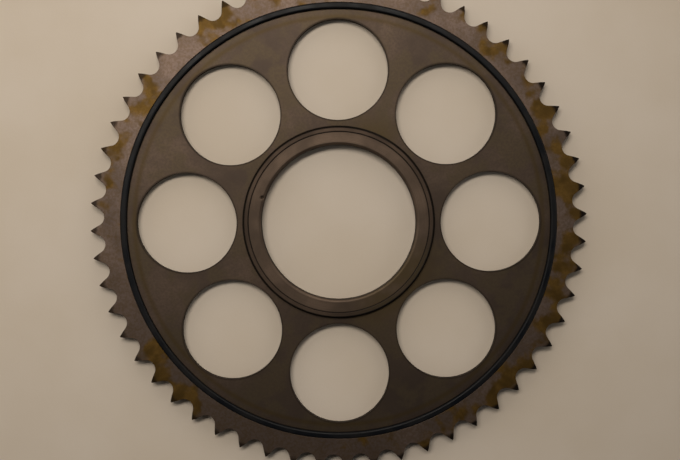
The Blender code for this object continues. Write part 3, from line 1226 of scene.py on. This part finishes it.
@dataclass
class ToothedRing(Piece):
    """Steel ring with straight-flanked teeth, round roller seats and relieved tips.

    Attributes:
        seat_clearance: How much larger the radius of a seat is than a roller's.
        flank_angle: Angle between a flank and the tooth's middle line.
        first_tooth: Angle of the first tooth.
        relief_radius: Radius where the relief of the tips starts.
        relief_slopes: Steepness of each cut of the relief, from the first outwards.
        relief_step: Distance from one cut to the next.
    """

    bore_radius: float
    tooth_count: int = 56
    chain_pitch: float = 0.015875
    roller_diameter: float = 0.01016
    seat_clearance: float = 0.0002
    flank_angle: float = math.radians(28.0)
    tip_radius: float = 0.1446
    first_tooth: float = math.radians(2.0)
    relief_radius: float = 0.1412
    relief_slopes: tuple[float, ...] = (0.22, 0.42, 0.66)
    relief_step: float = 0.0010
    edge_rounding: float = 0.00018
    rounding_steps: int = 2
    seat_steps: int = 14
    bore_steps: int = 6

    def __post_init__(self) -> None:
        """Work out what follows from the chain and the number of teeth."""
        self.tooth_pitch = FULL_TURN / self.tooth_count
        self.half_pitch = self.tooth_pitch / 2.0
        self.pitch_radius = self.chain_pitch / (2.0 * math.sin(self.half_pitch))
        self.seat_radius = self.roller_diameter / 2.0 + self.seat_clearance
        self.root_radius = self.pitch_radius - self.seat_radius

    def apex_radius(self) -> float:
        """Radius where the two flanks of a tooth would meet."""
        reach = self.pitch_radius * math.sin(self.half_pitch) * math.cos(self.flank_angle) - self.seat_radius
        return self.pitch_radius * math.cos(self.half_pitch) + reach / math.sin(self.flank_angle)

    def outline(self, bm: BMesh) -> BMFace:
        """Draw the flat outline of one tooth and its share of the ring.

        Args:
            bm: The mesh to draw in.

        Returns:
            The outline's face, at the height of the ring's back.
        """
        half = self.half_pitch
        low = self.reach.bottom
        seat = bm.verts.new(on_circle(self.root_radius, half, low))
        bore = bm.verts.new(on_circle(self.bore_radius, half, low))
        bm.edges.new((bore, seat))
        swung = bmesh.ops.spin(
            bm,
            geom=[seat],
            cent=on_circle(self.pitch_radius, half, low),
            axis=AXIS,
            angle=math.pi / 2.0 - self.flank_angle - half,
            steps=self.seat_steps,
        )
        leave = next(item for item in swung["geom_last"] if isinstance(item, BMVert))
        tip_half_width = (self.apex_radius() - self.tip_radius) * math.tan(self.flank_angle)
        tip = bm.verts.new((self.tip_radius, tip_half_width, low))
        bm.edges.new((leave, tip))
        bmesh.ops.mirror(bm, geom=bm.verts[:] + bm.edges[:], axis="Y", merge_dist=0.0)
        bm.edges.new(
            [vert for vert in bm.verts if math.isclose(vert.co.x, self.tip_radius, abs_tol=MERGE_DISTANCE)]
        )
        bmesh.ops.spin(
            bm, geom=[bore], cent=ORIGIN, axis=AXIS, angle=-self.tooth_pitch, steps=self.bore_steps
        )
        bmesh.ops.remove_doubles(bm, verts=bm.verts[:], dist=MERGE_DISTANCE)
        bmesh.ops.contextual_create(bm, geom=bm.edges[:])
        return bm.faces[:][0]

    def relieve(self, bm: BMesh) -> None:
        """Cut the sides of the tip back in a few slopes, front and back.

        Args:
            bm: The mesh to work on.
        """
        for index, slope in enumerate(self.relief_slopes):
            radius = self.relief_radius + index * self.relief_step
            drop = sum(self.relief_slopes[:index]) * self.relief_step
            for height, side in ((self.reach.top - drop, 1.0), (self.reach.bottom + drop, -1.0)):
                cut = bmesh.ops.bisect_plane(
                    bm,
                    geom=bm.verts[:] + bm.edges[:] + bm.faces[:],
                    plane_co=(radius, 0.0, height),
                    plane_no=Vector((slope, 0.0, side)),
                    clear_outer=True,
                )
                edges = [item for item in cut["geom_cut"] if isinstance(item, BMEdge)]
                bmesh.ops.contextual_create(bm, geom=edges)

    def on_side(self, face: BMFace) -> bool:
        """True for a face that lies in one of the planes where the teeth are parted."""
        angles = (abs(math.atan2(vert.co.y, vert.co.x)) for vert in face.verts)
        return all(math.isclose(angle, self.half_pitch, abs_tol=SAME_ANGLE) for angle in angles)

    def shape(self) -> BMesh:
        """Model one tooth, repeat it round the axis and round the edges.

        Returns:
            The finished mesh.
        """
        bm = bmesh.new()
        raise_faces(bm, [self.outline(bm)], self.reach.top - self.reach.bottom)
        self.relieve(bm)
        sides = [face for face in bm.faces if self.on_side(face)]
        bmesh.ops.delete(bm, geom=sides, context="FACES_ONLY")
        bmesh.ops.spin(
            bm,
            geom=bm.verts[:] + bm.edges[:] + bm.faces[:],
            cent=ORIGIN,
            axis=AXIS,
            angle=FULL_TURN - self.tooth_pitch,
            steps=self.tooth_count - 1,
            use_duplicate=True,
        )
        turned = Matrix.Rotation(self.first_tooth, 3, "Z")
        bmesh.ops.rotate(bm, verts=bm.verts[:], cent=ORIGIN, matrix=turned)
        tidy(bm)
        round_edges(bm, self.edge_rounding, self.rounding_steps, TOOTH_FOLD)
        return bm

    def finish(self) -> Finish:
        """Stained ground steel.

        Returns:
            The finish.
        """
        return RimFinish(
            "rim_steel",
            root_radius=self.root_radius,
            tip_radius=self.tip_radius,
            bore_radius=self.bore_radius,
            first_tooth=self.first_tooth,
            tooth_pitch=self.tooth_pitch,
        )


@dataclass
class PlainRing(Piece):
    """Ring turned from a flat bar with rounded edges."""

    inner_radius: float
    outer_radius: float
    front_rounding: float
    back_rounding: float
    steps: int
    rounding_steps: int

    def shape(self) -> BMesh:
        """Turn the bar.

        Returns:
            The finished mesh.
        """
        inner, outer, reach = self.inner_radius, self.outer_radius, self.reach
        section = [
            Corner(inner, reach.top, self.front_rounding),
            Corner(outer, reach.top, self.front_rounding),
            Corner(outer, reach.bottom, self.back_rounding),
            Corner(inner, reach.bottom, self.back_rounding),
        ]
        return turn(section, self.steps, self.rounding_steps)


@dataclass
class DamperRing(PlainRing):
    """Rubber ring with a well rounded front, which fills the joint between the toothed ring and the web."""

    front_rounding: float = 0.0009
    back_rounding: float = 0.0003
    steps: int = 448
    rounding_steps: int = 5

    def finish(self) -> Finish:
        """Black rubber."""
        return RubberFinish("damper_rubber")


@dataclass
class WebDisc(Piece):
    """Thin steel disc with an even circle of lightening holes.

    Attributes:
        hole_circle: Radius of the circle of the holes' centres.
        first_hole: Angle of the first hole.
        edge_rounding: Size of the rounding on the outer edges. The others are on the bore and the holes.
    """

    bore_radius: float
    hole_count: int = 8
    hole_radius: float = 0.0291
    hole_circle: float = 0.0886
    first_hole: float = math.radians(0.3)
    edge_rounding: float = 0.00035
    bore_rounding: float = 0.0009
    hole_rounding: float = 0.0012
    rounding_steps: int = 5
    rim_steps: int = 448
    bore_steps: int = 256
    hole_steps: int = 144

    def shape(self) -> BMesh:
        """Fill the flat outline, raise it and round its edges.

        Returns:
            The finished mesh.
        """
        bm = bmesh.new()
        back = on_circle(0.0, 0.0, self.reach.bottom)
        circles = [(back, self.reach.radius, self.rim_steps), (back, self.bore_radius, self.bore_steps)]
        for index in range(self.hole_count):
            angle = self.first_hole + FULL_TURN * index / self.hole_count
            centre = on_circle(self.hole_circle, angle, self.reach.bottom)
            circles.append((centre, self.hole_radius, self.hole_steps))
        for centre, radius, steps in circles:
            bmesh.ops.create_circle(bm, radius=radius, segments=steps, matrix=Matrix.Translation(centre))
        bmesh.ops.triangle_fill(bm, edges=bm.edges[:], use_beauty=True, normal=AXIS)
        raise_faces(bm, bm.faces[:], self.reach.top - self.reach.bottom)
        tidy(bm)
        inmost = self.bore_radius + 2.0 * self.bore_rounding
        outmost = self.reach.radius - 2.0 * self.edge_rounding
        for width, low, high in (
            (self.edge_rounding, outmost, math.inf),
            (self.bore_rounding, 0.0, inmost),
            (self.hole_rounding, inmost, outmost),
        ):
            round_edges(bm, width, self.rounding_steps, STEEP_FOLD, partial(self.within, low, high))
        return bm

    @staticmethod
    def within(low: float, high: float, edge: BMEdge) -> bool:
        """True for an edge that starts between two distances from the axis."""
        return low < edge.verts[0].co.xy.length <= high

    def finish(self) -> Finish:
        """Smooth dark steel.

        Returns:
            The finish.
        """
        return WebFinish(
            "web_steel",
            bump_depth=0.00002,
            outer_radius=self.reach.radius,
            bore_radius=self.bore_radius,
            first_hole=self.first_hole,
            hole_spacing=FULL_TURN / self.hole_count,
            hole_circle=self.hole_circle,
            hole_radius=self.hole_radius,
        )


@dataclass
class HubRing(PlainRing):
    """Narrow proud ring between the web and the bush."""

    front_rounding: float = 0.0003
    back_rounding: float = 0.00015
    steps: int = 336
    rounding_steps: int = 3

    def finish(self) -> Finish:
        """Turned steel, darker than the bush's.

        Returns:
            The finish.
        """
        return TurnedFinish(
            "hub_steel",
            clean=(0.090, 0.063, 0.046),
            shade=(0.054, 0.038, 0.028),
            oil=(0.046, 0.031, 0.013),
            inner_radius=self.inner_radius,
            outer_radius=self.outer_radius,
            inner_dirt=0.0004,
            outer_dirt=0.0008,
        )


@dataclass
class BoreBush(Piece):
    """Bush whose bore has a rounded mouth in front.

    Attributes:
        nick_place: Radius and angle of the nick in the mouth.
        nick_size: Length and depth of the nick.
        circle_gap: Distance between the circles beside the mouth.
        circle_count: Number of those circles.
    """

    bore_radius: float = 0.0450
    mouth_radius: float = 0.0016
    edge_rounding: float = 0.0003
    back_rounding: float = 0.0005
    nick_place: tuple[float, float] = (0.0466, math.radians(162.2))
    nick_size: tuple[float, float] = (0.0013, 0.0013)
    circle_gap: float = 0.0004
    circle_count: int = 4
    steps: int = 720
    rounding_steps: int = 10

    def shape(self) -> BMesh:
        """Turn the bush, with a few circles beside its mouth, and press the nick in.

        Returns:
            The finished mesh.
        """
        mouth_end = self.bore_radius + self.mouth_radius
        beside = [mouth_end + self.circle_gap * (index + 1) for index in range(self.circle_count)]
        section = [
            Corner(self.bore_radius, self.reach.top, self.mouth_radius),
            *(Corner(radius, self.reach.top) for radius in beside),
            Corner(self.reach.radius, self.reach.top, self.edge_rounding),
            Corner(self.reach.radius, self.reach.bottom, self.edge_rounding),
            Corner(self.bore_radius, self.reach.bottom, self.back_rounding),
        ]
        bm = turn(section, self.steps, self.rounding_steps)
        self.press_nick(bm)
        return bm

    def press_nick(self, bm: BMesh) -> None:
        """Press the nick into the mouth, with a smooth slope all round.

        Args:
            bm: The mesh to work on.
        """
        length, depth = self.nick_size
        nick = on_circle(*self.nick_place, self.reach.top)
        for vert in bm.verts:
            nearness = 1.0 - (vert.co - nick).length / length
            if nearness > 0.0:
                vert.co.z -= depth * nearness**2 * (3.0 - 2.0 * nearness)

    def finish(self) -> Finish:
        """Turned steel.

        Returns:
            The finish.
        """
        return TurnedFinish(
            "bush_steel",
            inner_radius=self.bore_radius,
            outer_radius=self.reach.radius,
            inner_dirt=0.0002,
            outer_dirt=0.0006,
        )


# --- Studio ---
@dataclass
class Viewpoint:
    """Camera that looks almost straight down.

    Its tilt is how far it leans from straight down, about X and about Y.
    """

    place: Point = (0.0, 0.0116, 0.4820)
    tilt: tuple[float, float] = (math.radians(-1.93), math.radians(-0.09))
    lens: float = 43.4

    def build(self) -> Object:
        """Set the camera up.

        Returns:
            The new object.
        """
        made = add_object("camera", bpy.data.cameras.new("camera"))
        made.data.lens = self.lens
        made.location = self.place
        made.rotation_euler = (*self.tilt, 0.0)
        bpy.context.scene.camera = made
        return made


@dataclass(frozen=True)
class Lamp:
    """Rectangular area light that faces a point. Its size is its length and width."""

    name: str
    place: Point
    aim: Point
    size: tuple[float, float]
    power: float
    colour: Colour
    spread: float = math.pi

    def build(self) -> Object:
        """Stand the light in its place.

        Returns:
            The new object.
        """
        light = bpy.data.lights.new(self.name, "AREA")
        light.shape = "RECTANGLE"
        light.size, light.size_y = self.size
        light.energy = self.power
        light.color = self.colour
        light.spread = self.spread
        made = add_object(self.name, light)
        made.location = self.place
        facing = Vector(self.aim) - Vector(self.place)
        made.rotation_euler = facing.to_track_quat("-Z", "Y").to_euler()
        return made


@dataclass
class Studio:
    """Pale paper floor, one long soft light and a faint cool fill.

    Attributes:
        air_strength: Strength of the light from all round, low down and overhead.
        air_height: Heights of direction where it starts to turn into the overhead light and has done so.
        air_side: How far towards the main light's side it starts to grow and is full.
        air_dim: Share of it that is left on the other side.
    """

    floor_size: float = 12.0
    floor_gap: float = 0.0001
    key: Lamp = Lamp(
        name="key_light",
        place=(-0.184, 0.395, 0.787),
        aim=(-0.08, 0.12, 0.0),
        size=(0.80, 0.22),
        power=1.72,
        colour=(1.0, 0.92, 0.82),
        spread=math.radians(100.0),
    )
    fill: Lamp = Lamp(
        name="fill_light",
        place=(1.1, -0.35, 0.75),
        aim=(0.0, 0.0, 0.0),
        size=(0.6, 0.6),
        power=0.45,
        colour=(0.75, 0.85, 1.0),
    )
    air_colour: Colour = (1.0, 0.92, 0.82)
    air_strength: tuple[float, float] = (1.25, 0.008)
    air_height: tuple[float, float] = (0.25, 0.75)
    air_side: tuple[float, float] = (-0.6, 0.1)
    air_dim: float = 0.12

    def floor(self, effects: Effects) -> Object:
        """Lay the paper.

        Args:
            effects: The shared effects.

        Returns:
            The floor's object.
        """
        bm = bmesh.new()
        bmesh.ops.create_grid(bm, x_segments=1, y_segments=1, size=self.floor_size / 2.0)
        bmesh.ops.translate(bm, verts=bm.verts[:], vec=(0.0, 0.0, -self.floor_gap))
        made = add_mesh("paper_floor", bm, PaperFinish("pale_paper").material(effects))
        made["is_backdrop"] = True
        return made

    def air(self) -> None:
        """Light the scene from all round, most from low down and from the main light's side."""
        world = bpy.data.worlds.new("air")
        world.use_nodes = True
        graph = Graph(world.node_tree)
        direction = graph.node("SeparateXYZ", graph.node("TexCoord").outputs["Generated"]).outputs
        low = graph.ramp(direction["Z"], *self.air_height, *self.air_strength)
        toward_key = graph.ramp(direction["Y"], *self.air_side, self.air_dim, 1.0)
        background = graph.node("Background", self.air_colour, graph.times(low, toward_key))
        graph.node("OutputWorld", background.outputs[0])
        bpy.context.scene.world = world

    def build(self, effects: Effects) -> None:
        """Lay the floor and light it.

        Args:
            effects: The shared effects.
        """
        self.floor(effects)
        self.key.build()
        self.fill.build()
        self.air()
        bpy.context.scene.view_settings.view_transform = "Standard"


def sprocket_pieces() -> list[Piece]:
    """The sprocket's pieces, from the teeth inwards, with their sizes taken from the frame.

    Returns:
        The pieces in order.
    """
    rim = Reach.of("toothed_ring")
    damper = Reach.of("damper_ring")
    web = Reach.of("web_disc")
    hub = Reach.of("hub_ring")
    bush = Reach.of("bore_bush")
    rim_bore = damper.radius + JOINT_GAP
    return [
        ToothedRing("toothed_ring", Slot.RIM, rim, rim_bore),
        DamperRing("damper_ring", Slot.DAMPER, damper, web.radius + TOUCH, rim_bore - TOUCH),
        WebDisc("web_disc", Slot.WEB, web, hub.radius + TOUCH),
        HubRing("hub_ring", Slot.HUB, hub, bush.radius + TOUCH, hub.radius),
        BoreBush("bore_bush", Slot.BUSH, bush),
    ]


def write_sizes() -> None:
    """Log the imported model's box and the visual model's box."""
    boxes = {"model": MODEL_BOX, "visual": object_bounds()}
    sizes = {name: [list(corner) for corner in box] for name, box in boxes.items()}
    LOG.info("sizes: %s", sizes)


def main() -> None:
    """Set up the view, the studio and every piece."""
    logging.basicConfig(level=logging.INFO, format="%(name)s: %(message)s")
    effects = Effects()
    Viewpoint().build()
    Studio().build(effects)
    for piece in sprocket_pieces():
        made = piece.build(effects)
        LOG.info("%s: %d faces", made.name, len(made.data.polygons))
    write_sizes()


if __name__ == "__main__":
    main()
